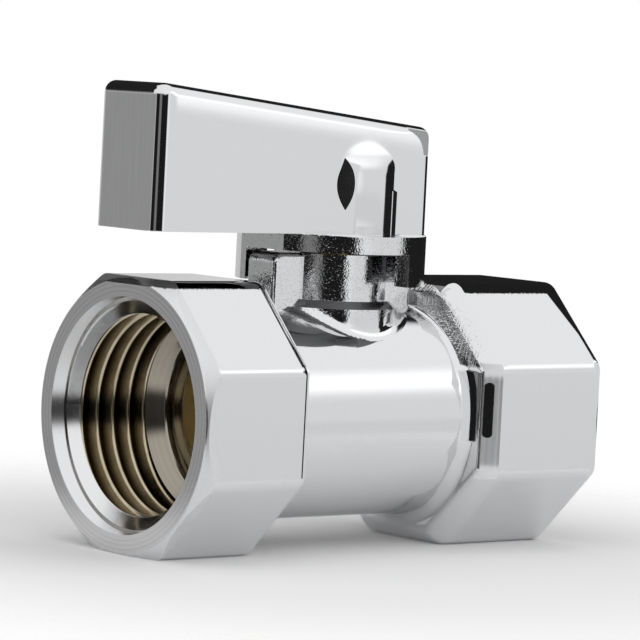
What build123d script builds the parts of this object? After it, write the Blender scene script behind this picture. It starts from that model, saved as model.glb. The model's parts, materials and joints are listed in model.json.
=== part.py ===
from build123d import *
import os
from math import cos, hypot, radians, tan

# Mini ball valve with two female pipe ends and a quarter-turn block lever, shown open.
# X runs along the pipe from the inlet (-X) to the outlet (+X), and the stem axis is Z.
# Heights are measured from the pipe axis. The finished pieces are lifted by half the width
# across flats, so that the valve stands on z = 0 on its two bottom flats.

os.makedirs("parts", exist_ok=True)

# Octagonal ends
across_flats = 25.3
inlet_reach = 23.85
outlet_reach = 24.65
connector_length = 12.0
connector_edge_radius = 1.5
connector_back_round = 1.1
connector_face_radius = 12.45
connector_chamfer_angle = 45.0
forged_edge_radius = 1.6
outlet_face_round = 1.2

# Barrel, and the shoulder between the barrel and the outlet octagon
barrel_radius = 10.0
shoulder_x = 11.25
shoulder_length = 1.5
shoulder_draft = 40.0
shoulder_outer_round = 2.0
shoulder_inner_round = 1.3
shoulder_fillet = 1.2

# Pipe sockets, depths measured from the end face
thread_major_radius = 10.4775
thread_minor_radius = 9.3155
mouth_radius = 10.85
mouth_depth = 1.5
thread_depth = 9.8
socket_cone_depth = 11.4
socket_cone_radius = 8.1
socket_groove_radius = 7.1
socket_groove_width = 0.5
port_mouth_radius = 6.4

# Ball chamber
ball_radius = 7.6
ball_port_radius = 5.0
ball_clearance = 0.35
spigot_radius = 8.85
spigot_thread_clearance = 0.05
spigot_end_gap = 0.1

# Seat rings, places measured along the pipe from the stem axis
seat_bore_radius = 5.4
seat_radius = 7.2
seat_back = 7.0
seat_front = 4.0
seat_pocket_front = 4.4
seat_pocket_clearance = 0.05
seat_ball_clearance = 0.04

# Boss, neck and stop lugs of the body
boss_radius = 6.45
boss_top = 10.8
boss_chamfer = 0.7
boss_fillet = 1.5
neck_radius = 5.35
neck_top = 15.1
lug_reach = 8.45
lug_half_width = 2.05
lug_corner_radius = 1.0
lug_edge_radius = 0.4

# Stem with its rings and washer
stem_radius = 2.95
stem_running_clearance = 0.05
flange_radius = 4.0
flange_thickness = 1.2
flange_clearance = 0.1
flange_ball_gap = 0.15
tang_length = 5.6
tang_thickness = 2.6
tang_clearance = 0.08
slot_floor = 5.7
washer_thickness = 0.5
washer_clearance = 0.05
o_ring_section_radius = 0.38
o_ring_clearance = 0.02
o_ring_groove_width = 1.0
o_ring_depth = 1.7
o_ring_pitch = 2.2
drive_square = 4.1
drive_clearance = 0.05
drive_length = 5.2

# Handle screw
screw_radius = 1.5
screw_thread_clearance = 0.05
screw_length = 6.2
screw_tip_clearance = 0.6
screw_floor = 1.8
screw_hole_clearance = 0.2
screw_head_radius = 2.75
screw_head_height = 2.0
screw_head_round = 0.8
screw_pocket_clearance = 0.55
cross_width = 0.8
cross_length = 3.2
cross_depth = 1.2

# Handle: block lever, hub, collar disc and stop legs
lever_reach = 24.65
lever_tail = 8.15
lever_half_width = 4.75
lever_height_free = 13.45
lever_height_tail = 10.15
lever_draft = 0.2
lever_corner_radius = 1.3
lever_top_radius = 1.1
hub_radius = 6.4
hub_height = 8.55
hub_dome_radius = 2.8
hub_blend_radius = 1.6
collar_radius = 8.95
collar_clearance = 0.3
collar_thickness = 1.65
collar_flat = 8.4
leg_inner_radius = 7.05
leg_length = 3.05
stop_clearance = 0.3
lever_wall = 2.0
lever_core_start = 9.6
lever_core_round = 0.8

# Closeness at which an edge counts as lying at a place
pick_tolerance = 0.01

# Sizes that follow from the ones above
axis_height = across_flats / 2
corner_reach = axis_height / cos(radians(180 / 8))
seam_x = connector_length - inlet_reach
chamber_radius = ball_radius + ball_clearance
flange_bottom = ball_radius + flange_ball_gap
flange_top = flange_bottom + flange_thickness
washer_top = flange_top + washer_thickness
chamber_ceiling = washer_top + washer_clearance
stem_bore_radius = stem_radius + stem_running_clearance
o_ring_radius = stem_bore_radius - o_ring_clearance - o_ring_section_radius
o_ring_groove_radius = o_ring_radius - o_ring_section_radius - o_ring_clearance
o_ring_upper_height = neck_top - o_ring_depth
o_ring_heights = {"lower": o_ring_upper_height - o_ring_pitch, "upper": o_ring_upper_height}
collar_bottom = neck_top + collar_clearance
leg_bottom = collar_bottom - leg_length
lever_bottom = collar_bottom + collar_thickness
lever_top_free = lever_bottom + lever_height_free
lever_top_tail = lever_bottom + lever_height_tail
hub_top = lever_bottom + hub_height
drive_top = collar_bottom + drive_length
screw_seat = drive_top + screw_floor
screw_tip = screw_seat - screw_length
screw_hole_floor = screw_tip - screw_tip_clearance
stop_edge = lug_half_width + stop_clearance
lever_top_slope = (lever_top_tail - lever_top_free) / (lever_tail + lever_reach)


def turned(points, axis):
    """Solid of revolution from half a section drawn in the XZ plane."""
    return revolve(Plane.XZ * Polygon(*points, align=None), axis)


def ring(inner_radius, outer_radius, bottom, top):
    """Flat ring about the stem axis."""
    section = [(inner_radius, bottom), (outer_radius, bottom), (outer_radius, top), (inner_radius, top)]
    return turned(section, Axis.Z)


def disc(radius, bottom, top):
    """Cylinder on the stem axis between two heights."""
    return ring(0, radius, bottom, top)


def bar(length_x, length_y, bottom, top):
    """Box centred on the stem axis between two heights."""
    return Pos(0, 0, bottom) * Box(
        length_x, length_y, top - bottom, align=(Align.CENTER, Align.CENTER, Align.MIN)
    )


def edges_at_x(solid, x):
    """Edges whose middle lies at one place along the pipe."""
    return solid.edges().filter_by_position(Axis.X, x - pick_tolerance, x + pick_tolerance)


def octagon(edge_radius):
    """Octagon across the pipe axis with level flats and rounded corners."""
    outline = RegularPolygon(axis_height, 8, major_radius=False, rotation=180 / 8)
    return fillet(outline.vertices(), edge_radius)


def at_outlet(piece):
    """The same piece turned round from the inlet to the outlet."""
    return Rot(0, 0, 180) * piece


def pipe_socket(reach):
    """Threaded socket and port at the inlet side, cut at the major diameter of the thread."""
    groove_end = socket_cone_depth + socket_groove_width
    port_end = reach - seat_back
    section = [
        (0, 0),
        (0, mouth_radius),
        (mouth_depth, mouth_radius),
        (mouth_depth, thread_major_radius),
        (thread_depth, thread_major_radius),
        (thread_depth, thread_minor_radius),
        (socket_cone_depth, socket_cone_radius),
        (socket_cone_depth, socket_groove_radius),
        (groove_end, socket_groove_radius),
        (groove_end, port_mouth_radius),
        (port_end, seat_bore_radius),
        (port_end, 0),
    ]
    return turned([(depth - reach, radius) for depth, radius in section], Axis.X)


def inlet_seat_pocket():
    """Pocket for the inlet seat ring, open towards the ball."""
    radius = seat_radius + seat_pocket_clearance
    section = [(-seat_back, 0), (-seat_back, radius), (-seat_pocket_front, radius), (-seat_pocket_front, 0)]
    return turned(section, Axis.X)


def make_connector():
    """Turned octagonal inlet with a spigot that screws into the barrel."""
    prism = extrude(Plane.YZ.offset(-inlet_reach) * octagon(connector_edge_radius), connector_length)
    prism = fillet(edges_at_x(prism, seam_x), connector_back_round)
    chamfer_depth = (corner_reach - connector_face_radius) * tan(radians(connector_chamfer_angle))
    envelope = turned(
        [
            (-inlet_reach, 0),
            (-inlet_reach, connector_face_radius),
            (chamfer_depth - inlet_reach, corner_reach),
            (seam_x, corner_reach),
            (seam_x, 0),
        ],
        Axis.X,
    )
    spigot_end = -seat_pocket_front
    spigot = turned(
        [(seam_x, 0), (seam_x, spigot_radius), (spigot_end, spigot_radius), (spigot_end, 0)], Axis.X
    )
    return (prism & envelope) + spigot - pipe_socket(inlet_reach) - inlet_seat_pocket()


def make_outlet_head():
    """Forged octagon of the outlet, with its soft shoulder and rounded face edge."""
    outline = octagon(forged_edge_radius)
    toward_inlet = Plane(origin=(shoulder_x, 0, 0), x_dir=(0, 1, 0), z_dir=(-1, 0, 0))
    head = extrude(Plane.YZ.offset(shoulder_x) * outline, outlet_reach - shoulder_x)
    head += extrude(toward_inlet * outline, shoulder_length, taper=shoulder_draft)
    head = fillet(edges_at_x(head, shoulder_x), shoulder_outer_round)
    head = fillet(edges_at_x(head, shoulder_x - shoulder_length), shoulder_inner_round)
    return fillet(edges_at_x(head, outlet_reach), outlet_face_round)


def make_lugs():
    """Pair of stop lugs along the pipe, one bar through the neck."""
    lugs = bar(2 * lug_reach, 2 * lug_half_width, 0, neck_top)
    lugs = fillet(lugs.edges().filter_by(Axis.Y).sort_by(Axis.Z)[-2:], lug_corner_radius)
    return fillet(lugs.edges().filter_by(Axis.Z), lug_edge_radius)


def is_on_boss(edge):
    """True for the curved edge where the boss meets the barrel."""
    middle = edge.position_at(0.5)
    meets_boss = abs(hypot(middle.X, middle.Y) - boss_radius) < pick_tolerance
    return meets_boss and edge.geom_type not in (GeomType.LINE, GeomType.CIRCLE)


def make_body():
    """Forged body: barrel, outlet, boss, neck, stop lugs and the inner bores."""
    barrel = turned(
        [(seam_x, 0), (seam_x, barrel_radius), (shoulder_x, barrel_radius), (shoulder_x, 0)], Axis.X
    )
    body = make_outlet_head() + Rot(180, 0, 0) * barrel
    root = edges_at_x(body, shoulder_x - shoulder_length).filter_by(GeomType.CIRCLE)
    body = fillet(root.sort_by(lambda edge: edge.radius)[-1], shoulder_fillet)

    body += disc(boss_radius, 0, neck_top)
    body = fillet([edge for edge in body.edges() if is_on_boss(edge)], boss_fillet)
    ledge = boss_top - boss_chamfer
    body -= turned(
        [
            (0, boss_top),
            (boss_radius - boss_chamfer, boss_top),
            (boss_radius, ledge),
            (barrel_radius, ledge),
            (barrel_radius, neck_top),
            (0, neck_top),
        ],
        Axis.Z,
    )
    body += disc(neck_radius, 0, neck_top) + make_lugs()

    spigot_bore = spigot_radius + spigot_thread_clearance
    step_x = spigot_end_gap - seat_pocket_front
    chamber = turned(
        [
            (seam_x, 0),
            (seam_x, spigot_bore),
            (step_x, spigot_bore),
            (step_x, chamber_radius),
            (seat_pocket_front, chamber_radius),
            (seat_pocket_front, 0),
        ],
        Axis.X,
    )
    body -= chamber + at_outlet(inlet_seat_pocket()) + at_outlet(pipe_socket(outlet_reach))
    body -= disc(flange_radius + flange_clearance, 0, chamber_ceiling)
    return body - disc(stem_bore_radius, 0, neck_top)


def make_ball():
    """Floating ball with its port along the pipe and its slot across it."""
    ball = Sphere(ball_radius)
    ball -= Rot(0, 90, 0) * Cylinder(ball_port_radius, 2 * ball_radius)
    slot_width = tang_thickness + 2 * tang_clearance
    return ball - bar(slot_width, 2 * ball_radius, slot_floor, ball_radius)


def make_inlet_seat():
    """Seat ring with a round face that the ball bears on."""
    section = [
        (-seat_back, seat_bore_radius),
        (-seat_back, seat_radius),
        (-seat_front, seat_radius),
        (-seat_front, seat_bore_radius),
    ]
    return turned(section, Axis.X) - Sphere(ball_radius + seat_ball_clearance)


def make_stem():
    """Turned stem: tang, flange, ring grooves, square drive and screw hole."""
    section = [(0, flange_bottom), (flange_radius, flange_bottom), (flange_radius, flange_top)]
    section.append((stem_radius, flange_top))
    for height in o_ring_heights.values():
        low = height - o_ring_groove_width / 2
        high = height + o_ring_groove_width / 2
        section += [(stem_radius, low), (o_ring_groove_radius, low)]
        section += [(o_ring_groove_radius, high), (stem_radius, high)]
    section += [(stem_radius, collar_bottom), (0, collar_bottom)]
    stem = turned(section, Axis.Z)
    stem += bar(tang_thickness, tang_length, slot_floor + tang_clearance, flange_bottom)
    stem += bar(drive_square, drive_square, collar_bottom, drive_top)
    return stem - disc(screw_radius + screw_thread_clearance, screw_hole_floor, drive_top)


def make_o_ring(height):
    """Sealing ring in a groove of the stem."""
    return Pos(0, 0, height) * Torus(o_ring_radius, o_ring_section_radius)


def make_washer():
    """Slip washer on the stem flange."""
    return ring(stem_bore_radius, flange_radius, flange_top, washer_top)


def make_screw():
    """Cross-recessed pan head screw down the stem axis."""
    head_top = screw_seat + screw_head_height
    head = disc(screw_head_radius, screw_seat, head_top)
    head = fillet(head.edges().filter_by(GeomType.CIRCLE).sort_by(Axis.Z)[-1], screw_head_round)
    recess_floor = head_top - cross_depth
    head -= bar(cross_length, cross_width, recess_floor, head_top)
    head -= bar(cross_width, cross_length, recess_floor, head_top)
    return head + disc(screw_radius, screw_tip, screw_seat)


def lever_top(x):
    """Height of the sloping top of the lever."""
    return lever_top_free + lever_top_slope * (x + lever_reach)


def lever_slab(start, end, half_width, skin):
    """Slab under the sloping top, from one place along the lever to another."""
    outline = [
        (start, lever_bottom),
        (end, lever_bottom),
        (end, lever_top(end) - skin),
        (start, lever_top(start) - skin),
    ]
    return extrude(Plane.XZ * Polygon(*outline, align=None), half_width, both=True)


def make_lever():
    """Drafted block with rounded corners and a sloping top."""
    length = lever_tail + lever_reach
    outline = RectangleRounded(length, 2 * lever_half_width, lever_corner_radius)
    foot = Pos((lever_tail - lever_reach) / 2, 0, lever_bottom) * outline
    lever = extrude(foot, lever_top_free - lever_bottom, taper=lever_draft)
    lever &= lever_slab(-lever_reach, lever_tail, lever_half_width, 0)
    top_face = lever.faces().sort_by(Axis.Z)[-1]
    return fillet(top_face.edges(), lever_top_radius)


def is_hub_blend(edge):
    """True for the curved edges where the hub comes out of the sides of the lever."""
    middle = edge.position_at(0.5)
    above_foot = middle.Z > lever_bottom + pick_tolerance
    within_hub = hypot(middle.X, middle.Y) < hub_radius + pick_tolerance
    return above_foot and within_hub and edge.geom_type not in (GeomType.LINE, GeomType.CIRCLE)


def make_collar():
    """Collar disc under the lever with a stop leg on each side."""
    span = bar(2 * collar_flat, 2 * collar_radius, leg_bottom, lever_bottom)
    collar = disc(collar_radius, collar_bottom, lever_bottom)
    leg = ring(leg_inner_radius, collar_radius, leg_bottom, collar_bottom)
    leg &= Pos(stop_edge, -stop_edge, leg_bottom) * Box(
        collar_radius,
        collar_radius,
        collar_bottom - leg_bottom,
        align=(Align.MIN, Align.MAX, Align.MIN),
    )
    return (collar + leg + Rot(0, 0, 180) * leg) & span


def make_handle():
    """Die-cast handle, cored from below and bored for the stem and its screw."""
    hub = disc(hub_radius, lever_bottom, hub_top)
    hub = fillet(hub.edges().filter_by(GeomType.CIRCLE).sort_by(Axis.Z)[-1], hub_dome_radius)
    lever = make_lever()
    handle = lever + hub
    handle = fillet([edge for edge in handle.edges() if is_hub_blend(edge)], hub_blend_radius)
    handle += make_collar()
    core = lever_slab(
        lever_wall - lever_reach, -lever_core_start, lever_half_width - lever_wall, lever_wall
    )
    core_upright = core.edges().filter_by(Axis.Z)
    handle -= fillet(core_upright, lever_core_round)
    socket = drive_square + 2 * drive_clearance
    handle -= bar(socket, socket, collar_bottom, drive_top + drive_clearance)
    handle -= disc(screw_radius + screw_hole_clearance, drive_top, screw_seat)
    return handle - disc(screw_head_radius + screw_pocket_clearance, screw_seat, lever_top_free)


def export(piece, name):
    """Lift a finished piece onto its resting plane and write it."""
    export_step(Pos(0, 0, axis_height) * piece, f"parts/{name}.step")


export(make_body(), "body")
export(make_connector(), "end_connector")
export(make_ball(), "ball")
export(make_inlet_seat(), "seat_inlet")
export(at_outlet(make_inlet_seat()), "seat_outlet")
export(make_stem(), "stem")
for level, ring_height in o_ring_heights.items():
    export(make_o_ring(ring_height), f"stem_o_ring_{level}")
export(make_washer(), "stem_thrust_washer")
export(make_handle(), "handle")
export(make_screw(), "handle_screw")
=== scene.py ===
import json
import math
from collections import namedtuple

import bmesh
import bpy
from mathutils import Matrix, Vector

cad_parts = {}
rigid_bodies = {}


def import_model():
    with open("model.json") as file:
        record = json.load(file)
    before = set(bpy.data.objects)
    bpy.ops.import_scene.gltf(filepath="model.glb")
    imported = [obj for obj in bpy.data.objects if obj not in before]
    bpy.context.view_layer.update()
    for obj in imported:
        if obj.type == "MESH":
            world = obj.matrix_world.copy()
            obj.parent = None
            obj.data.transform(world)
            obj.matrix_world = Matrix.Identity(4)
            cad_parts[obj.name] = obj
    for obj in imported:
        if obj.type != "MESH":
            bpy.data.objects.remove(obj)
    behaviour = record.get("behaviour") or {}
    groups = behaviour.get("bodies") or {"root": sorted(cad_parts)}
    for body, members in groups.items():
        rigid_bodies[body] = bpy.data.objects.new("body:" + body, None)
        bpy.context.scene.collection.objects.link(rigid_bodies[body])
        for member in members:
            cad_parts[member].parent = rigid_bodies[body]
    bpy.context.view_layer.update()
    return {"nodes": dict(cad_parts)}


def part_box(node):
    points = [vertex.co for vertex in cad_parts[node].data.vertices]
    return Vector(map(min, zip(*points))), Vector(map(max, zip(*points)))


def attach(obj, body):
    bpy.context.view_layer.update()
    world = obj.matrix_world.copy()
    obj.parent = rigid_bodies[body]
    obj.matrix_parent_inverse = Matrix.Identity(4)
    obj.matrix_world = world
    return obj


# Looks of a chrome-plated mini ball valve: finishes on every piece of the frame, the screw thread
# ridges in both sockets, a pale floor, studio light and the camera. Lengths are in metres.

for leftover in list(bpy.data.objects):
    bpy.data.objects.remove(leftover)

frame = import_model()
nodes = frame["nodes"]

MM = 0.001

# Places in the frame
AXIS_HEIGHT = (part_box("end_connector")[0].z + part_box("end_connector")[1].z) / 2
INLET_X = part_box("end_connector")[0].x
OUTLET_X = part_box("body")[1].x
LEVER_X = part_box("handle")[0].x
TAIL_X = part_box("handle")[1].x
CONNECTOR_LENGTH = 12.0 * MM
REAR_X = INLET_X + CONNECTOR_LENGTH
BOSS_LEDGE = AXIS_HEIGHT + 10.0 * MM
LEVER_BOTTOM = AXIS_HEIGHT + 17.05 * MM
LEVER_LENGTH = 32.8 * MM
LEVER_HEIGHT_FREE = 13.45 * MM
LEVER_HEIGHT_TAIL = 10.15 * MM
LEVER_TOP_FREE = LEVER_BOTTOM + LEVER_HEIGHT_FREE
LEVER_TOP_SLOPE = (LEVER_HEIGHT_TAIL - LEVER_HEIGHT_FREE) / LEVER_LENGTH
HUB_MIDDLE = AXIS_HEIGHT + 21.75 * MM
HUB_DOME = AXIS_HEIGHT + 22.6 * MM
HUB_TOP = AXIS_HEIGHT + 25.6 * MM

# Pipe thread in the sockets; the flank of a ridge is given in parts of its pitch and height
THREAD_PITCH = 1.814 * MM
THREAD_ROOT_RADIUS = 10.4775 * MM
THREAD_CREST_RADIUS = 9.3155 * MM
THREAD_HEIGHT = THREAD_ROOT_RADIUS - THREAD_CREST_RADIUS
THREAD_FLANK = ((0.08, 0.96), (0.14, 0.84), (0.36, 0.16), (0.42, 0.04), (0.5, 0.0))
THREAD_START = 1.5 * MM
THREAD_END = 9.75 * MM
LEAD_IN_DEPTH = 0.7 * MM
THREAD_SKIN = 0.01 * MM
THREAD_STEPS = 144
THREAD_MERGE = 0.0005 * MM

# Colours
CHROME_BRIGHT = (0.79, 0.795, 0.805, 1.0)
CHROME_DIM = (0.75, 0.755, 0.765, 1.0)
CHROME_LINE = (0.66, 0.66, 0.67, 1.0)
CAST_PIT = (0.58, 0.58, 0.58, 1.0)
# Painted shade for the faces of the handle that turn downward
UNDERSIDE_PAINTED_SHADE = (0.26, 0.26, 0.265, 1.0)
LATHE_BRIGHT = (0.86, 0.86, 0.87, 1.0)
LATHE_DARK = (0.52, 0.52, 0.53, 1.0)
NICKEL = (0.66, 0.59, 0.46, 1.0)
NICKEL_DARK = (0.34, 0.28, 0.18, 1.0)
BORE_BRIGHT = (0.42, 0.385, 0.33, 1.0)
BORE_DARK = (0.24, 0.21, 0.17, 1.0)
# Painted shade in the roots of the thread
THREAD_ROOT_PAINTED_SHADE = (0.12, 0.09, 0.045, 1.0)
BRASS = (0.80, 0.66, 0.38, 1.0)
FLOOR_COLOUR = (0.9, 0.9, 0.9, 1.0)
WHITE = (1.0, 1.0, 1.0, 1.0)

# Plain metals and soft materials of the smaller pieces and the ball
Metal = namedtuple("Metal", "node name bright dark smooth rough scale")
METALS = (
    Metal("ball", "chrome_ball", (0.83, 0.83, 0.84, 1), (0.72, 0.72, 0.73, 1), 0.04, 0.1, 500.0),
    Metal("stem", "brass_stem", (0.5, 0.39, 0.2, 1), (0.36, 0.27, 0.13, 1), 0.25, 0.4, 900.0),
    Metal("handle_screw", "zinc_screw", (0.68, 0.68, 0.68, 1), (0.5, 0.5, 0.52, 1), 0.25, 0.4, 900.0),
)
Soft = namedtuple("Soft", "name bright dark roughness nodes")
SOFTS = (
    Soft(
        "seat_plastic",
        (0.9, 0.9, 0.88, 1),
        (0.82, 0.82, 0.8, 1),
        0.35,
        ("seat_inlet", "seat_outlet", "stem_thrust_washer"),
    ),
    Soft(
        "seal_rubber",
        (0.035, 0.035, 0.035, 1),
        (0.02, 0.02, 0.02, 1),
        0.55,
        ("stem_o_ring_lower", "stem_o_ring_upper"),
    ),
)

# Patterns in the finish: cells per metre and detail
SPECKLE = (4200.0, 2.0)
HAZE = (900.0, 4.0)
WAVES = (260.0, 2.0)
GRAINS = (6200.0, 1.0)
LUMPS = (1500.0, 1.0)
PITS = (5400.0, 2.0)
FIBRES = (4200.0, 2.0)
TURNED_RINGS = (4800.0, 2.0)
TOOL_MARKS = (4200.0, 3.0)
FRAY = (5200.0, 2.0)
STREAKS = (4200.0, 1.0)
END_LINES = (4200.0, 2.0)
STAIN = (600.0, 4.0)
THREAD_WAVES = (2500.0, 2.0)
SOFT_MOTTLE = (700.0, 4.0)
SOFT_GRAIN = (2500.0, 3.0)

# Mottle of plain metals and its finer waves, stretch of fibres and lines, edge of the pits
MOTTLE_DETAIL = 4.0
FINER_WAVES = 3
FINER_DETAIL = 2.0
FIBRE_STRETCH = 0.2
END_LINE_STRETCH = 0.03
PIT_EDGE = (0.52, 0.75)

# Heights of the patterns
WAVE_HEIGHT = 0.002 * MM
FINE_HEIGHT = 0.004 * MM
GRAIN_HEIGHT = 0.02 * MM
LUMP_HEIGHT = 0.022 * MM
FIBRE_HEIGHT = 0.06 * MM

# Roughness
CHROME_ROUGHNESS = (0.03, 0.07)
THREAD_ROUGHNESS = (0.1, 0.24)
FACE_ROUGHNESS = 0.16
MOUTH_ROUGHNESS = 0.2
SOCKET_ROUGHNESS = 0.13
PORT_ROUGHNESS = 0.42
CHAMFER_ROUGHNESS = 0.34
DULL_ROUGHNESS = 0.35
UNDERSIDE_ROUGHNESS = 0.45

# Zones of a finish: two values are the start and end of a soft step, three are the low end, high
# end and softness of a band. RISE is a height above the pipe axis, OUT a distance from the middle
# plane, DEPTH a distance from the nearer end face. FACING is a direction along the pipe, outward
# and upward.

# Neck, shoulder before the outlet, and the root at its foot; the tilt along the pipe of the
# shoulder's strip varies between two values
NECK_Z = (BOSS_LEDGE - 1.5 * MM, BOSS_LEDGE + 0.2 * MM)
NECK_RADIUS = (9.6 * MM, 9.0 * MM)
SHOULDER_X = (9.4 * MM, 11.6 * MM, 0.5 * MM)
SHOULDER_RISE = (4.0 * MM, 7.0 * MM)
SHOULDER_RADIUS = (12.5 * MM, 12.2 * MM)
ROOT_UPPER_X = (9.15 * MM, 9.95 * MM, 0.1 * MM)
ROOT_UPPER_RISE = (4.7 * MM, 5.2 * MM)
ROOT_UPPER_SHARE = 0.85
ROOT_UPPER_FACING = (-0.85, 0.5, 0.1)
ROOT_SIDE_RISE = (-2.0 * MM, 4.6 * MM, 0.15 * MM)
ROOT_SIDE_OUT = (8.4 * MM, 8.6 * MM)
ROOT_DARK_X = (9.5 * MM, 9.76 * MM, 0.03 * MM)
ROOT_PALE_X = (8.85 * MM, 9.46 * MM, 0.03 * MM)
ROOT_PALE_FACING = (-0.2, 0.98, 0.0)
DARK_FACING = (-0.643, 0.766, 0.0)
STRIP_X = (9.95 * MM, 11.45 * MM, 0.05 * MM)
STRIP_END_RISE = (3.7 * MM, 4.9 * MM)
STRIP_STREAKS = (0.3, 0.7)
STRIP_TILTS = (-0.44, -0.58)
STRIP_END_TILT = -0.2
STRIP_OUTWARD = 0.87
FACET_X = 10.36 * MM
FACET_RISE = 1.05 * MM
FACET_HALF_LENGTH = 2.25 * MM
FACET_RADIUS = (0.4 * MM, 0.3 * MM)

# Octagons, end faces and bores
FLAT_OUT = (10.4 * MM, 10.6 * MM)
FLAT_RISE = (5.7 * MM, 5.3 * MM)
INLET_BROW_RISE = (12.2 * MM, 12.35 * MM)
INLET_BROW_X = (-11.5 * MM, -11.7 * MM)
OUTLET_BROW_RISE = (11.8 * MM, 12.0 * MM)
OUTLET_BROW_X = (11.4 * MM, 11.8 * MM)
BROW_FRAY = 0.5 * MM
RIM_CORNER = AXIS_HEIGHT + 5.3 * MM
RIM_X = OUTLET_X - 0.4 * MM
RIM_WIDENING = 0.28
RIM_EDGE = (0.2 * MM, -0.2 * MM)
RIM_START = (0.0, 0.4 * MM)
RIM_LEAN = 0.24
END_EDGE_DEPTH = (1.5 * MM, 1.2 * MM)
END_EDGE_RADIUS = (12.5 * MM, 12.55 * MM)
REAR_EDGE_X = (REAR_X - 0.75 * MM, REAR_X + 0.1 * MM, 0.05 * MM)
REAR_EDGE_SLANT = (0.92, 0.8)
REAR_EDGE_LEAN = -0.9
REAR_LINE_X = (REAR_X - 1.3 * MM, REAR_X - 0.8 * MM, 0.04 * MM)
REAR_LINE_RISE = (4.6 * MM, 5.4 * MM)
REAR_LINE_LEAN = 0.3
FACE_DEPTH = (0.12 * MM, 0.04 * MM)
MOUTH_DEPTH = (1.35 * MM, 1.6 * MM)
SOCKET_DEPTH = 11.5 * MM
SOCKET_RADIUS = 10.95 * MM
SOCKET_LEAN = 0.62
PORT_DEPTH = (11.7 * MM, 12.3 * MM)
PORT_RADIUS = 9.4 * MM
# Radii where the painted shade in the thread's roots gives way to the nickel of its crests
THREAD_CREST = (10.35 * MM, 9.55 * MM)
THREAD_FIRST_RIDGE = (2.25 * MM, 2.15 * MM)

# Hub of the handle, with a narrow hollow beside it. WIDTHS are half its width: on the face and at
# the cap on the free side, away from the waist and at it on the tail side. STARTS and ENDS are
# for the face and the dome.
HUB_Y = (-4.3 * MM, -4.5 * MM)
HUB_ASIDE = (7.4 * MM, 7.0 * MM)
HUB_Z = (LEVER_BOTTOM, HUB_TOP + 1.1 * MM, 0.15 * MM)
HUB_DOME_HEIGHT = 3.1 * MM
HUB_DOME_Z = (HUB_DOME, HUB_DOME + 2.0 * MM)
HUB_CAP_Z = (HUB_DOME + 0.9 * MM, HUB_DOME + 1.4 * MM)
HUB_FREE_WIDTHS = (2.35 * MM, 4.2 * MM)
HUB_WAIST_LOW_Z = (HUB_MIDDLE - 0.65 * MM, HUB_MIDDLE - 0.35 * MM)
HUB_WAIST_HIGH_Z = (HUB_DOME + 1.7 * MM, HUB_DOME + 0.1 * MM)
HUB_TAIL_WIDTHS = (2.95 * MM, 2.25 * MM)
FLANK_STARTS = (0.9, 0.4)
FLANK_ENDS = (1.08, 1.25)
DOME_FLANK = 0.74
CREASE_X = (2.05 * MM, 2.2 * MM, 0.04 * MM)
CREASE_Z = (HUB_MIDDLE - 0.4 * MM, HUB_MIDDLE - 0.6 * MM)
CROWN_X = (2.0 * MM, -0.5 * MM)
HUB_CROWN = 38.0
CROWN_LOWEST = -0.14
DENT_X = -3.2 * MM
DENT_EDGE = (0.84 * MM, 0.72 * MM)
DENT_TAPER = 125.0
DENT_NORMAL = (-0.42, -0.9, 0.0)

# Lever of the handle; its rolled edge, top line and tail patch are measured down from its top
LEVER_END_X = (LEVER_X + 0.6 * MM, LEVER_X + 0.2 * MM)
UNDER_Z = (LEVER_BOTTOM + 0.1 * MM, LEVER_BOTTOM - 0.1 * MM)
# Range of facing over which the underside gets its roughness and painted shade
DOWNWARD = (-0.6, -0.8)
LEVER_SIDE_OUT = (4.0 * MM, 4.3 * MM)
ROLLED_X = (LEVER_X + 1.0 * MM, LEVER_X + 2.0 * MM)
ROLLED_FADE = (4.6 * MM, 0.9 * MM)
ROLLED_EDGE = (0.3 * MM, 0.9 * MM)
ROLLED_LEAN = 0.24
TOP_LINE = (0.42 * MM, 0.28 * MM)
TOP_LINE_LEAN = 0.5
TAIL_CORNER_X = TAIL_X - 0.95 * MM
TAIL_PATCH = 1.55 * MM * MM
TAIL_PATCH_EDGE = (TAIL_PATCH * 1.1, TAIL_PATCH * 0.9)
TAIL_PATCH_X = (TAIL_X - 3.6 * MM, TAIL_X - 3.4 * MM)
TAIL_PATCH_BELOW = (0.35 * MM, 2.7 * MM, 0.08 * MM)
TAIL_PATCH_FACING = (-0.485, 0.875, 0.0)

# Camera, fitted to the photograph
CAMERA_AZIMUTH = 40.178
CAMERA_ELEVATION = 5.223
CAMERA_ROLL = 2.948
CAMERA_YAW = 0.11
CAMERA_PITCH = 1.355
CAMERA_DISTANCE = 362.468 * MM
CAMERA_CLIP = (0.01, 10.0)
SENSOR_WIDTH = 36.0
PICTURE_WIDTH = 640
FOCAL_PIXELS = 3820.293
LENS = FOCAL_PIXELS / PICTURE_WIDTH * SENSOR_WIDTH

# Studio: a white world with cards round the object, azimuth from +Y towards +X, in degrees
Card = namedtuple("Card", "name azimuth half_width elevation half_height softness brightness")
CARD_DISTANCE = 3.0
CARD_STEP = 0.1
CARD_CELLS = 24
CARDS = (
    Card("back_low_grey", 12, 28, -2, 11, 3, 0.62),
    Card("front_grey", 141, 31, 4, 12, 6, 0.83),
    Card("front_low_grey", 141, 40, -10, 6, 3, 0.76),
    Card("key_softbox", 133, 30, 27, 6, 6, 1.45),
    Card("back_black", 12, 50, 25, 18, 3, 0.018),
    Card("right_high_black", 69, 21, 29, 14, 3, 0.015),
    Card("right_black", 81.6, 41.5, 4, 14, 1.5, 0.015),
    Card("left_grey", 318, 30, -3, 11, 5, 0.345),
    Card("camera_black", 236, 50, -1, 13, 4, 0.012),
    Card("camera_strip", 246, 9, -1, 13, 4, 0.22),
)

FLOOR_RADIUS = 80 * MM
FLOOR_FADE = 52 * MM
FLOOR_GLOW = 0.04
FLOOR_SEGMENTS = 96

Place = namedtuple("Place", "position x y z above_axis radius")


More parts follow.
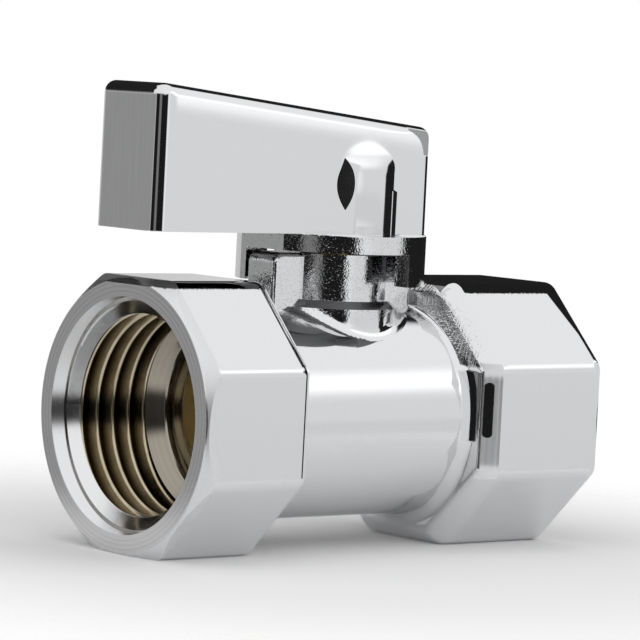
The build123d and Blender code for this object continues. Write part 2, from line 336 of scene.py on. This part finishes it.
class Shader:
    """A material's or world's node tree with short calls for its nodes."""

    def __init__(self, owner):
        owner.use_nodes = True
        self.tree = owner.node_tree
        self.tree.nodes.clear()

    def node(self, kind, **settings):
        made = self.tree.nodes.new(kind)
        for name, value in settings.items():
            setattr(made, name, value)
        return made

    def feed(self, socket, value):
        if isinstance(value, bpy.types.NodeSocket):
            self.tree.links.new(value, socket)
        else:
            socket.default_value = value

    def math(self, operation, *values):
        made = self.node("ShaderNodeMath", operation=operation)
        for socket, value in zip(made.inputs, values):
            self.feed(socket, value)
        return made.outputs[0]

    def product(self, first, *others):
        """All the values multiplied together."""
        for other in others:
            first = self.math("MULTIPLY", first, other)
        return first

    def length(self, across, along):
        """Length of the slope over two sides at a right angle."""
        square = self.math("ADD", self.product(across, across), self.product(along, along))
        return self.math("SQRT", square)

    def inverse(self, mask):
        """One where the mask is zero, zero where it is one."""
        return self.math("SUBTRACT", 1.0, mask)

    def smooth_step(self, value, start, end):
        made = self.node("ShaderNodeMapRange", interpolation_type="SMOOTHSTEP")
        self.feed(made.inputs["Value"], value)
        self.feed(made.inputs["From Min"], start)
        self.feed(made.inputs["From Max"], end)
        return made.outputs["Result"]

    def band(self, value, low, high, soft):
        """One between two values, with soft ends."""
        return self.product(
            self.smooth_step(value, low - soft, low + soft),
            self.smooth_step(value, high + soft, high - soft),
        )

    def mix_value(self, factor, low, high):
        made = self.node("ShaderNodeMix", data_type="FLOAT")
        self.feed(made.inputs[0], factor)
        self.feed(made.inputs[2], low)
        self.feed(made.inputs[3], high)
        return made.outputs[0]

    def mix_colour(self, factor, low, high):
        made = self.node("ShaderNodeMix", data_type="RGBA")
        self.feed(made.inputs[0], factor)
        self.feed(made.inputs[6], low)
        self.feed(made.inputs[7], high)
        return made.outputs[2]

    def mix_surface(self, factor, low, high):
        made = self.node("ShaderNodeMixShader")
        for socket, value in zip(made.inputs, (factor, low, high)):
            self.feed(socket, value)
        return made.outputs[0]

    def noise(self, vector, scale, detail):
        made = self.node("ShaderNodeTexNoise")
        self.feed(made.inputs["Vector"], vector)
        made.inputs["Scale"].default_value = scale
        made.inputs["Detail"].default_value = detail
        return made.outputs["Fac"]

    def combine(self, x, y, z):
        made = self.node("ShaderNodeCombineXYZ")
        for socket, value in zip(made.inputs, (x, y, z)):
            self.feed(socket, value)
        return made.outputs[0]

    def split(self, vector):
        made = self.node("ShaderNodeSeparateXYZ")
        self.feed(made.inputs[0], vector)
        return made.outputs

    def bump(self, height, distance, normal=None):
        made = self.node("ShaderNodeBump")
        self.feed(made.inputs["Height"], height)
        made.inputs["Strength"].default_value = 1.0
        made.inputs["Distance"].default_value = distance
        if normal is not None:
            self.feed(made.inputs["Normal"], normal)
        return made.outputs["Normal"]

    def turned(self, x, y, z):
        """A direction fixed to the piece, as the world sees it."""
        made = self.node(
            "ShaderNodeVectorTransform",
            vector_type="VECTOR",
            convert_from="OBJECT",
            convert_to="WORLD",
        )
        self.feed(made.inputs[0], self.combine(x, y, z))
        return made.outputs[0]

    def swing(self, factor, normal, x, y, z):
        """The normal, swung round to a direction fixed to the piece."""
        made = self.node("ShaderNodeMix", data_type="VECTOR")
        self.feed(made.inputs[0], factor)
        self.feed(made.inputs[4], normal)
        self.feed(made.inputs[5], self.turned(x, y, z))
        return made.outputs[1]

    def swing_aside(self, factor, normal, side, facing):
        """The normal, swung to a direction that is mirrored on the other side of the middle plane."""
        along, outward, upward = facing
        return self.swing(factor, normal, along, self.product(side, outward), upward)

    def lean(self, normal, x, y, z):
        """The normal, leaned over by the given amounts."""
        made = self.node("ShaderNodeVectorMath", operation="ADD")
        self.feed(made.inputs[0], normal)
        self.feed(made.inputs[1], self.turned(x, y, z))
        level = self.node("ShaderNodeVectorMath", operation="NORMALIZE")
        self.feed(level.inputs[0], made.outputs[0])
        return level.outputs[0]

    def place(self):
        """Object position with its parts, the height above the pipe axis and the distance from it."""
        position = self.node("ShaderNodeTexCoord").outputs["Object"]
        x, y, z = self.split(position)
        above_axis = self.math("SUBTRACT", z, AXIS_HEIGHT)
        return Place(position, x, y, z, above_axis, self.length(y, above_axis))

    def surface_normal(self):
        """The three parts of the direction that the surface faces."""
        return self.split(self.node("ShaderNodeNewGeometry").outputs["Normal"])

    def show(self, surface):
        out = self.node("ShaderNodeOutputMaterial")
        self.feed(out.inputs["Surface"], surface)

    def principled(self, colour, metallic, roughness, normal):
        made = self.node("ShaderNodeBsdfPrincipled")
        self.feed(made.inputs["Base Color"], colour)
        self.feed(made.inputs["Metallic"], metallic)
        self.feed(made.inputs["Roughness"], roughness)
        self.feed(made.inputs["Normal"], normal)
        self.show(made.outputs[0])


def socket_depth(s, x):
    """Distance from the nearer end face."""
    return s.math("MINIMUM", s.math("SUBTRACT", x, INLET_X), s.math("SUBTRACT", OUTLET_X, x))


def chrome_base(s, position):
    """Tone, roughness and fine waviness of polished chrome plate."""
    tone = s.mix_colour(s.noise(position, *SPECKLE), CHROME_DIM, CHROME_BRIGHT)
    roughness = s.mix_value(s.noise(position, *HAZE), *CHROME_ROUGHNESS)
    return tone, roughness, s.bump(s.noise(position, *WAVES), WAVE_HEIGHT)


def cast_grain(s, position, mask, tone, normal):
    """Rough cast skin under the plate, with dark pits, where the mask is one."""
    normal = s.bump(s.product(s.noise(position, *GRAINS), mask), GRAIN_HEIGHT, normal)
    normal = s.bump(s.product(s.noise(position, *LUMPS), mask), LUMP_HEIGHT, normal)
    pits = s.smooth_step(s.noise(position, *PITS), *PIT_EDGE)
    tone = s.mix_colour(s.product(pits, mask), tone, CAST_PIT)
    return tone, normal


def rough_neck(s, at, side, tone, normal):
    """Cast skin on the neck and the upper shoulder, with a hollow root before the shoulder."""
    neck = s.product(
        s.smooth_step(at.z, *NECK_Z),
        s.smooth_step(s.length(at.x, at.y), *NECK_RADIUS),
    )
    shoulder = s.product(
        s.band(at.x, *SHOULDER_X),
        s.smooth_step(at.above_axis, *SHOULDER_RISE),
        s.smooth_step(at.radius, *SHOULDER_RADIUS),
    )
    root = s.product(
        s.band(at.x, *ROOT_UPPER_X),
        s.smooth_step(at.above_axis, *ROOT_UPPER_RISE),
        ROOT_UPPER_SHARE,
    )
    normal = s.swing_aside(root, normal, side, ROOT_UPPER_FACING)
    fibres = s.noise(s.combine(s.product(at.x, FIBRE_STRETCH), at.y, 0.0), *FIBRES)
    normal = s.bump(s.product(fibres, shoulder), FIBRE_HEIGHT, normal)
    return cast_grain(s, at.position, s.math("MAXIMUM", neck, shoulder), tone, normal)


def end_faces(s, depth, radius, tone, roughness):
    """Fine turned rings on both end faces."""
    on_face = s.smooth_step(depth, *FACE_DEPTH)
    rings = s.noise(s.combine(radius, 0.0, 0.0), *TURNED_RINGS)
    lathe = s.mix_colour(rings, LATHE_DARK, LATHE_BRIGHT)
    return s.mix_colour(on_face, tone, lathe), s.mix_value(on_face, roughness, FACE_ROUGHNESS)


def bores(s, depth, radius, in_socket, tone, roughness):
    """Tool-marked nickel in the sockets and brass in the port behind them."""
    bore = s.math("MAXIMUM", in_socket, s.math("LESS_THAN", radius, PORT_RADIUS))
    past_mouth = s.smooth_step(depth, *MOUTH_DEPTH)
    in_port = s.smooth_step(depth, *PORT_DEPTH)
    tool_marks = s.noise(s.combine(depth, 0.0, 0.0), *TOOL_MARKS)
    metal = s.mix_colour(tool_marks, BORE_DARK, BORE_BRIGHT)
    metal = s.mix_colour(in_port, metal, BRASS)
    metal = s.mix_colour(past_mouth, tone, metal)
    bore_roughness = s.mix_value(past_mouth, MOUTH_ROUGHNESS, SOCKET_ROUGHNESS)
    bore_roughness = s.mix_value(in_port, bore_roughness, PORT_ROUGHNESS)
    return s.mix_colour(bore, tone, metal), s.mix_value(bore, roughness, bore_roughness)


def forged_shoulder(s, at, side, on_flat, roughness, normal):
    """Shoulder before the outlet: a dull strip with a polished facet, and the root at its foot."""
    strip = s.product(s.band(at.x, *STRIP_X), on_flat)
    from_middle = s.math("ABSOLUTE", s.math("SUBTRACT", at.above_axis, FACET_RISE))
    past_end = s.math("MAXIMUM", s.math("SUBTRACT", from_middle, FACET_HALF_LENGTH), 0.0)
    off_facet = s.length(s.math("SUBTRACT", at.x, FACET_X), past_end)
    facet = s.product(s.smooth_step(off_facet, *FACET_RADIUS), on_flat)
    root_side = s.product(
        s.band(at.above_axis, *ROOT_SIDE_RISE),
        s.smooth_step(s.math("ABSOLUTE", at.y), *ROOT_SIDE_OUT),
    )
    root_dark = s.product(s.band(at.x, *ROOT_DARK_X), root_side)
    root_pale = s.product(s.band(at.x, *ROOT_PALE_X), root_side)
    streaks = s.noise(s.combine(at.x, 0.0, 0.0), *STREAKS)
    tilt = s.mix_value(s.smooth_step(streaks, *STRIP_STREAKS), *STRIP_TILTS)
    strip_end = s.smooth_step(s.math("ABSOLUTE", at.above_axis), *STRIP_END_RISE)
    tilt = s.mix_value(strip_end, tilt, STRIP_END_TILT)
    normal = s.swing_aside(strip, normal, side, (tilt, STRIP_OUTWARD, 0.0))
    normal = s.swing_aside(s.math("MAXIMUM", facet, root_dark), normal, side, DARK_FACING)
    normal = s.swing_aside(root_pale, normal, side, ROOT_PALE_FACING)
    dull = s.product(strip, s.inverse(facet))
    return s.mix_value(dull, roughness, DULL_ROUGHNESS), normal


def octagon_brows(s, at):
    """Lean of the upper edges of both octagons, with a frayed border."""
    fray = s.product(s.noise(s.combine(at.x, 0.0, 0.0), *FRAY), BROW_FRAY)
    brow = s.math("ADD", at.above_axis, fray)
    inlet = s.product(
        s.smooth_step(brow, *INLET_BROW_RISE),
        s.smooth_step(at.x, *INLET_BROW_X),
    )
    outlet = s.product(
        s.smooth_step(brow, *OUTLET_BROW_RISE),
        s.smooth_step(at.x, *OUTLET_BROW_X),
    )
    return s.math("MAXIMUM", inlet, outlet)


def outlet_rim_lean(s, at):
    """Outward lean of the outlet's upper rim, which widens upward."""
    above_corner = s.math("SUBTRACT", at.z, RIM_CORNER)
    width = s.product(above_corner, RIM_WIDENING)
    to_rim = s.math("SUBTRACT", s.math("SUBTRACT", RIM_X, at.x), width)
    return s.product(
        s.smooth_step(to_rim, *RIM_EDGE),
        s.smooth_step(above_corner, *RIM_START),
        RIM_LEAN,
    )


def rear_edge_lean(s, at):
    """Lean of the rear edge of the inlet's octagon, with a fine line before it."""
    facing = s.surface_normal()[0]
    edge = s.product(
        s.band(at.x, *REAR_EDGE_X),
        s.smooth_step(facing, *REAR_EDGE_SLANT),
        facing,
        REAR_EDGE_LEAN,
    )
    line = s.product(
        s.band(at.x, *REAR_LINE_X),
        s.smooth_step(at.above_axis, *REAR_LINE_RISE),
        REAR_LINE_LEAN,
    )
    return s.math("ADD", edge, line)


def make_fitting_material():
    """Chrome plate outside, nickel and brass in the bores, turned end faces and a rough cast neck."""
    material = bpy.data.materials.new("chrome_fitting")
    s = Shader(material)
    at = s.place()
    depth = socket_depth(s, at.x)
    side = s.math("SIGN", at.y)
    on_flat = s.product(
        s.smooth_step(s.math("ABSOLUTE", at.y), *FLAT_OUT),
        s.smooth_step(s.math("ABSOLUTE", at.above_axis), *FLAT_RISE),
    )
    in_socket = s.product(
        s.math("LESS_THAN", depth, SOCKET_DEPTH),
        s.math("LESS_THAN", at.radius, SOCKET_RADIUS),
    )
    end_edge = s.product(
        s.smooth_step(depth, *END_EDGE_DEPTH),
        s.smooth_step(at.radius, *END_EDGE_RADIUS),
    )
    outlet_rim = s.product(end_edge, on_flat, s.math("GREATER_THAN", at.x, 0.0))
    inlet_chamfer = s.product(end_edge, s.math("LESS_THAN", at.x, 0.0))

    tone, roughness, normal = chrome_base(s, at.position)
    tone, normal = rough_neck(s, at, side, tone, normal)
    tone, roughness = end_faces(s, depth, at.radius, tone, roughness)
    tone, roughness = bores(s, depth, at.radius, in_socket, tone, roughness)
    roughness, normal = forged_shoulder(s, at, side, on_flat, roughness, normal)
    roughness = s.mix_value(inlet_chamfer, roughness, CHAMFER_ROUGHNESS)
    normal = s.swing(outlet_rim, normal, 0.0, side, 0.0)

    socket_lean = s.product(in_socket, s.math("SIGN", at.x), SOCKET_LEAN)
    along_pipe = s.math("ADD", outlet_rim_lean(s, at), socket_lean)
    along_pipe = s.math("ADD", along_pipe, rear_edge_lean(s, at))
    normal = s.lean(normal, along_pipe, 0.0, octagon_brows(s, at))
    s.principled(tone, 1.0, roughness, normal)
    return material


def hub_flank(s, at):
    """One beside the hub's face, zero on it, and part way over its dome."""
    above_dome = s.math("MAXIMUM", s.math("SUBTRACT", at.z, HUB_DOME), 0.0)
    over_dome = s.math("DIVIDE", above_dome, HUB_DOME_HEIGHT)
    free_width = s.mix_value(s.smooth_step(at.z, *HUB_CAP_Z), *HUB_FREE_WIDTHS)
    waist = s.product(
        s.smooth_step(at.z, *HUB_WAIST_LOW_Z),
        s.smooth_step(at.z, *HUB_WAIST_HIGH_Z),
    )
    tail_width = s.mix_value(waist, *HUB_TAIL_WIDTHS)
    half_width = s.mix_value(s.math("GREATER_THAN", at.x, 0.0), free_width, tail_width)
    from_hub = s.length(s.math("DIVIDE", at.x, half_width), over_dome)
    dome = s.smooth_step(at.z, *HUB_DOME_Z)
    flank = s.smooth_step(from_hub, s.mix_value(dome, *FLANK_STARTS), s.mix_value(dome, *FLANK_ENDS))
    flank = s.math("MAXIMUM", flank, s.product(dome, DOME_FLANK))
    crease = s.product(
        s.band(at.x, *CREASE_X),
        s.smooth_step(at.z, *CREASE_Z),
    )
    return s.math("MAXIMUM", flank, crease)


def shape_hub(s, at, normal):
    """Flat flanks and a narrow hollow beside the hub; also gives the lean of its crowned face."""
    near_hub = s.product(
        s.smooth_step(at.y, *HUB_Y),
        s.smooth_step(s.math("ABSOLUTE", at.x), *HUB_ASIDE),
        s.band(at.z, *HUB_Z),
    )
    flank = hub_flank(s, at)
    normal = s.swing(s.product(flank, near_hub), normal, 0.0, -1.0, 0.0)
    rise = s.math("SUBTRACT", at.z, HUB_MIDDLE)
    from_dent = s.math("ABSOLUTE", s.math("SUBTRACT", at.x, DENT_X))
    from_dent = s.math("ADD", from_dent, s.product(rise, rise, DENT_TAPER))
    dent = s.product(s.smooth_step(from_dent, *DENT_EDGE), near_hub)
    normal = s.swing(dent, normal, *DENT_NORMAL)
    on_face = s.product(
        near_hub,
        s.smooth_step(at.x, *CROWN_X),
        s.inverse(flank),
    )
    crown = s.math("MAXIMUM", s.product(rise, HUB_CROWN), CROWN_LOWEST)
    return normal, s.product(crown, on_face)


def shape_lever_top(s, at, roughness, normal):
    """Dull corner at the lever's tail; also gives the lean of the rolled upper edge of its sides."""
    from_end = s.math("SUBTRACT", at.x, LEVER_X)
    lever_top = s.math("ADD", s.product(from_end, LEVER_TOP_SLOPE), LEVER_TOP_FREE)
    below_top = s.math("SUBTRACT", lever_top, at.z)
    on_side = s.smooth_step(s.math("ABSOLUTE", at.y), *LEVER_SIDE_OUT)
    corner = s.product(s.math("SUBTRACT", TAIL_CORNER_X, at.x), below_top)
    patch = s.product(
        s.smooth_step(corner, *TAIL_PATCH_EDGE),
        on_side,
        s.band(below_top, *TAIL_PATCH_BELOW),
        s.smooth_step(at.x, *TAIL_PATCH_X),
    )
    normal = s.swing_aside(patch, normal, s.math("SIGN", at.y), TAIL_PATCH_FACING)
    roughness = s.mix_value(patch, roughness, DULL_ROUGHNESS)
    rolled = s.product(
        s.smooth_step(below_top, *ROLLED_FADE),
        s.smooth_step(at.x, *ROLLED_X),
        s.smooth_step(below_top, *ROLLED_EDGE),
        on_side,
        s.inverse(patch),
        ROLLED_LEAN,
    )
    top_line = s.product(s.smooth_step(below_top, *TOP_LINE), TOP_LINE_LEAN)
    return roughness, normal, s.math("ADD", rolled, top_line)


def make_handle_material():
    """Chrome plate on a casting: lined end face, crowned hub, rough collar and legs, and downward faces
    made rougher and darkened with painted shade.
    """
    material = bpy.data.materials.new("chrome_handle")
    s = Shader(material)
    at = s.place()
    tone, roughness, normal = chrome_base(s, at.position)
    lines = s.noise(s.combine(0.0, at.y, s.product(at.z, END_LINE_STRETCH)), *END_LINES)
    lined = s.mix_colour(lines, CHROME_LINE, CHROME_BRIGHT)
    tone = s.mix_colour(s.smooth_step(at.x, *LEVER_END_X), tone, lined)
    under = s.smooth_step(at.z, *UNDER_Z)
    tone, normal = cast_grain(s, at.position, under, tone, normal)
    # Downward faces are made rougher and darkened with painted shade
    downward = s.smooth_step(s.surface_normal()[2], *DOWNWARD)
    tone = s.mix_colour(downward, tone, UNDERSIDE_PAINTED_SHADE)
    roughness = s.mix_value(downward, roughness, UNDERSIDE_ROUGHNESS)
    normal, crown = shape_hub(s, at, normal)
    roughness, normal, edge_lean = shape_lever_top(s, at, roughness, normal)
    normal = s.lean(normal, 0.0, 0.0, s.math("ADD", crown, edge_lean))
    s.principled(tone, 1.0, roughness, normal)
    return material


def make_thread_material():
    """Nickel-plated thread: stained nickel crests, roots darkened with painted shade, and fine tool
    marks.
    """
    material = bpy.data.materials.new("nickel_thread")
    s = Shader(material)
    at = s.place()
    stain = s.noise(at.position, *STAIN)
    bright = s.mix_colour(stain, NICKEL_DARK, NICKEL)
    # The tone goes from painted shade in the roots to stained nickel on the crests
    tone = s.mix_colour(s.smooth_step(at.radius, *THREAD_CREST), THREAD_ROOT_PAINTED_SHADE, bright)
    lead_in = s.smooth_step(socket_depth(s, at.x), *THREAD_FIRST_RIDGE)
    tone = s.mix_colour(lead_in, tone, CHROME_BRIGHT)
    roughness = s.mix_value(stain, *THREAD_ROUGHNESS)
    normal = s.bump(s.noise(at.position, *THREAD_WAVES), FINE_HEIGHT)
    normal = s.swing(
        lead_in,
        normal,
        0.0,
        s.math("DIVIDE", s.product(at.y, -1.0), at.radius),
        s.math("DIVIDE", s.product(at.above_axis, -1.0), at.radius),
    )
    outward = s.product(s.math("SIGN", at.x), SOCKET_LEAN)
    s.principled(tone, 1.0, roughness, s.lean(normal, outward, 0.0, 0.0))
    return material


def make_metal(metal):
    """Plain worked metal with a mottled tone and roughness."""
    material = bpy.data.materials.new(metal.name)
    s = Shader(material)
    position = s.place().position
    mottle = s.noise(position, metal.scale, MOTTLE_DETAIL)
    tone = s.mix_colour(mottle, metal.dark, metal.bright)
    roughness = s.mix_value(mottle, metal.rough, metal.smooth)
    finer = s.noise(position, metal.scale * FINER_WAVES, FINER_DETAIL)
    normal = s.bump(finer, FINE_HEIGHT)
    s.principled(tone, 1.0, roughness, normal)
    return material


def make_soft(soft):
    """Seat plastic or rubber, slightly mottled."""
    material = bpy.data.materials.new(soft.name)
    s = Shader(material)
    position = s.place().position
    tone = s.mix_colour(s.noise(position, *SOFT_MOTTLE), soft.dark, soft.bright)
    normal = s.bump(s.noise(position, *SOFT_GRAIN), FINE_HEIGHT)
    s.principled(tone, 0.0, soft.roughness, normal)
    return material


def give(node_name, material):
    mesh = nodes[node_name].data
    mesh.materials.clear()
    mesh.materials.append(material)


def join_rows(build, rows):
    """Faces between neighbouring rows of points."""
    for low, high in zip(rows, rows[1:]):
        for i in range(len(low) - 1):
            build.faces.new((low[i], low[i + 1], high[i + 1], high[i]))


def add_piece(name, build):
    """Object of a finished build, in the scene."""
    mesh = bpy.data.meshes.new(name)
    build.to_mesh(mesh)
    build.free()
    piece = bpy.data.objects.new(name, mesh)
    bpy.context.scene.collection.objects.link(piece)
    return piece


def thread_section():
    """Depth offset and height of one ridge of the pipe thread, with a rounded root and crest."""
    falling = [(offset * THREAD_PITCH, rise * THREAD_HEIGHT) for offset, rise in THREAD_FLANK]
    rising = [(-offset, rise) for offset, rise in reversed(falling)]
    return rising + [(0.0, THREAD_HEIGHT)] + falling


def make_thread(name, end_x, turn):
    """Right-handed thread wall of one socket, cut off by the lead-in cone and the end of the thread."""
    section = thread_section()
    turns = math.ceil((THREAD_END - THREAD_START) / THREAD_PITCH) + 1
    build = bmesh.new()
    rows = []
    for step in range(turns * THREAD_STEPS + 1):
        angle = 2 * math.pi * step / THREAD_STEPS
        centre = THREAD_START - THREAD_PITCH / 2 + THREAD_PITCH * step / THREAD_STEPS
        row = []
        for offset, rise in section:
            lead_in = THREAD_START + LEAD_IN_DEPTH * rise / THREAD_HEIGHT
            depth = min(max(centre + offset, lead_in), THREAD_END)
            radius = THREAD_ROOT_RADIUS - THREAD_SKIN - rise
            row.append(build.verts.new(Vector((
                depth - abs(end_x),
                radius * math.cos(angle),
                AXIS_HEIGHT + radius * math.sin(angle),
            ))))
        rows.append(row)
    join_rows(build, rows)
    bmesh.ops.dissolve_degenerate(build, dist=THREAD_MERGE, edges=build.edges)
    bmesh.ops.recalc_face_normals(build, faces=build.faces)
    thread = add_piece(name, build)
    for polygon in thread.data.polygons:
        polygon.use_smooth = True
    thread.data.transform(Matrix.Rotation(turn, 4, "Z"))
    return thread


def make_floor_material():
    """Pale matt surface that fades out, with a weak glow for the camera and for the chrome."""
    material = bpy.data.materials.new("pale_floor")
    s = Shader(material)
    at = s.place()
    diffuse = s.node("ShaderNodeBsdfDiffuse")
    diffuse.inputs["Color"].default_value = FLOOR_COLOUR
    glow = s.node("ShaderNodeEmission")
    light = s.node("ShaderNodeLightPath")
    seen = s.math("MAXIMUM", light.outputs["Is Camera Ray"], light.outputs["Is Glossy Ray"])
    seen = s.math("MAXIMUM", seen, light.outputs["Is Transmission Ray"])
    s.feed(glow.inputs["Strength"], s.product(seen, FLOOR_GLOW))
    both = s.node("ShaderNodeAddShader")
    s.feed(both.inputs[0], diffuse.outputs[0])
    s.feed(both.inputs[1], glow.outputs[0])
    fade = s.smooth_step(s.length(at.x, at.y), FLOOR_RADIUS - FLOOR_FADE, FLOOR_RADIUS)
    clear = s.node("ShaderNodeBsdfTransparent")
    s.show(s.mix_surface(fade, both.outputs[0], clear.outputs[0]))
    return material


def make_floor():
    """Pale round table top, white to the camera apart from the shadow."""
    build = bmesh.new()
    bmesh.ops.create_circle(build, cap_ends=True, radius=FLOOR_RADIUS, segments=FLOOR_SEGMENTS)
    floor = add_piece("floor", build)
    floor.data.materials.append(make_floor_material())


def make_world():
    """Plain white surroundings."""
    world = bpy.data.worlds.new("studio")
    bpy.context.scene.world = world
    s = Shader(world)
    background = s.node("ShaderNodeBackground")
    background.inputs["Color"].default_value = WHITE
    background.inputs["Strength"].default_value = 1.0
    out = s.node("ShaderNodeOutputWorld")
    s.feed(out.inputs["Surface"], background.outputs[0])


def make_card_material(card, distance):
    """Even glow with soft edges."""
    material = bpy.data.materials.new(card.name)
    material.cycles.emission_sampling = "NONE"
    s = Shader(material)
    x, y, z = s.split(s.node("ShaderNodeTexCoord").outputs["Object"])
    aside = s.math("SUBTRACT", s.math("ARCTAN2", x, y), math.radians(card.azimuth))
    aside = s.math("ABSOLUTE", s.math("WRAP", aside, math.pi, -math.pi))
    elevation = s.math("ARCSINE", s.math("DIVIDE", z, distance))
    above = s.math("ABSOLUTE", s.math("SUBTRACT", elevation, math.radians(card.elevation)))
    soft = math.radians(card.softness)
    wide = math.radians(card.half_width)
    high = math.radians(card.half_height)
    solid = s.product(
        s.smooth_step(aside, wide + soft, wide - soft),
        s.smooth_step(above, high + soft, high - soft),
    )
    glow = s.node("ShaderNodeEmission")
    glow.inputs["Strength"].default_value = card.brightness
    clear = s.node("ShaderNodeBsdfTransparent")
    s.show(s.mix_surface(solid, clear.outputs[0], glow.outputs[0]))
    return material


def make_card(card, distance):
    """Curved studio card, outside the picture, that the chrome reflects."""
    reach_x = card.half_width + card.softness
    reach_z = card.half_height + card.softness
    build = bmesh.new()
    rows = []
    for i in range(CARD_CELLS + 1):
        azimuth = math.radians(card.azimuth + reach_x * (2 * i / CARD_CELLS - 1))
        row = []
        for j in range(CARD_CELLS + 1):
            elevation = math.radians(card.elevation + reach_z * (2 * j / CARD_CELLS - 1))
            row.append(build.verts.new(Vector((
                distance * math.cos(elevation) * math.sin(azimuth),
                distance * math.cos(elevation) * math.cos(azimuth),
                distance * math.sin(elevation),
            ))))
        rows.append(row)
    join_rows(build, rows)
    made = add_piece(card.name, build)
    made.data.materials.append(make_card_material(card, distance))
    made.location.z = AXIS_HEIGHT
    made.visible_camera = False


def make_camera():
    """Camera at the photograph's angle, aimed near the valve's middle and slightly rolled."""
    azimuth = math.radians(CAMERA_AZIMUTH)
    elevation = math.radians(CAMERA_ELEVATION)
    forward = Vector((
        math.sin(azimuth) * math.cos(elevation),
        math.cos(azimuth) * math.cos(elevation),
        -math.sin(elevation),
    ))
    right = Vector((math.cos(azimuth), -math.sin(azimuth), 0.0))
    up = right.cross(forward)
    place = Vector((0.0, 0.0, AXIS_HEIGHT)) - forward * CAMERA_DISTANCE
    level = Matrix((right, up, -forward)).transposed()
    turn = Matrix.Rotation(math.radians(CAMERA_YAW), 3, "Y")
    tilt = Matrix.Rotation(math.radians(CAMERA_PITCH), 3, "X")
    lean = Matrix.Rotation(math.radians(CAMERA_ROLL), 3, "Z")
    data = bpy.data.cameras.new("camera")
    data.sensor_width = SENSOR_WIDTH
    data.lens = LENS
    data.clip_start, data.clip_end = CAMERA_CLIP
    camera = bpy.data.objects.new("camera", data)
    camera.matrix_world = Matrix.Translation(place) @ (level @ turn @ tilt @ lean).to_4x4()
    bpy.context.scene.collection.objects.link(camera)
    bpy.context.scene.camera = camera


fitting = make_fitting_material()
give("body", fitting)
give("end_connector", fitting)
give("handle", make_handle_material())
for plain_metal in METALS:
    give(plain_metal.node, make_metal(plain_metal))
for soft_kind in SOFTS:
    soft_material = make_soft(soft_kind)
    for node_name in soft_kind.nodes:
        give(node_name, soft_material)

thread_material = make_thread_material()
for thread_name, thread_end, thread_turn, thread_slot in (
    ("inlet_thread_ridge", INLET_X, 0.0, "plated_connector"),
    ("outlet_thread_ridge", OUTLET_X, math.pi, "plated_body"),
):
    thread_piece = make_thread(thread_name, thread_end, thread_turn)
    thread_piece.data.materials.append(thread_material)
    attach(thread_piece, "valve_body")

make_floor()
make_world()
for card_index, studio_card in enumerate(CARDS):
    make_card(studio_card, CARD_DISTANCE - CARD_STEP * card_index)
make_camera()
bpy.context.scene.view_settings.view_transform = "Standard"
